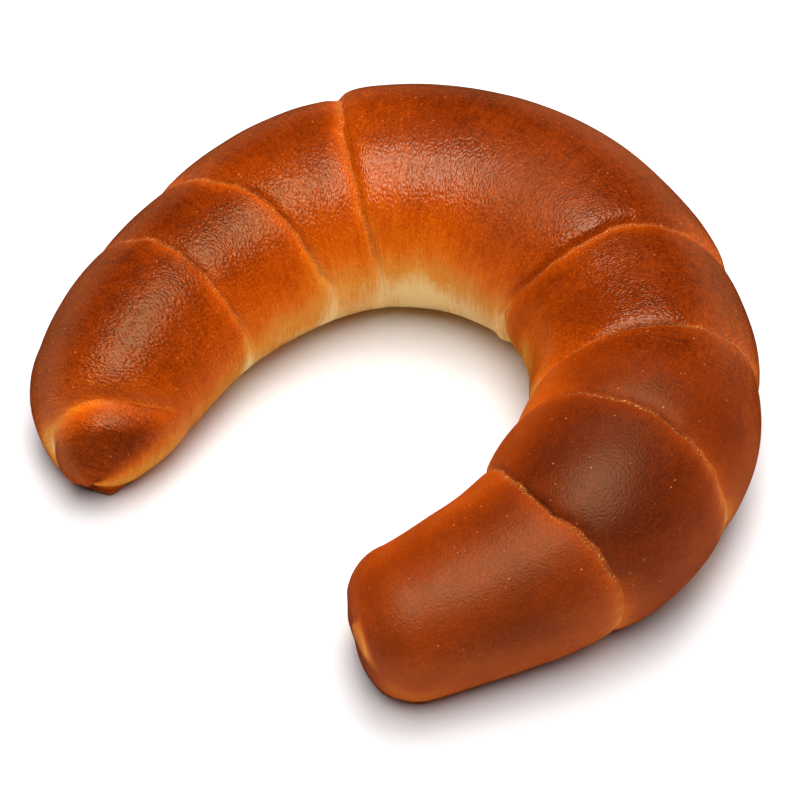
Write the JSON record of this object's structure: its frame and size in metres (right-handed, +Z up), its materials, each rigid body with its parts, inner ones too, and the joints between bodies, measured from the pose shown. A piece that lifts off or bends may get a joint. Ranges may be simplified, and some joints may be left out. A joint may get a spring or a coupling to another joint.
{
  "type": "crescent roll",
  "caption": "Glazed baked dough roll bent into a horseshoe, with wraps that overlap from the middle toward both tips.",
  "frame": {"origin": "middle of the bounding box at the underside that the roll rests on", "axes": "+Z up, +Y to the back of the bend, so that both arms point to -Y, +X to the arm with the blunt two-lobed tip"},
  "size_m": [0.1582, 0.149, 0.0476],
  "materials": {
    "crust": "egg-washed bread crust, glossy brown on top, paler in the creases and on the lower inner side"
  },
  "bodies": {
    "root": {"crescent_roll": "crust"}
  },
  "joints": []
}
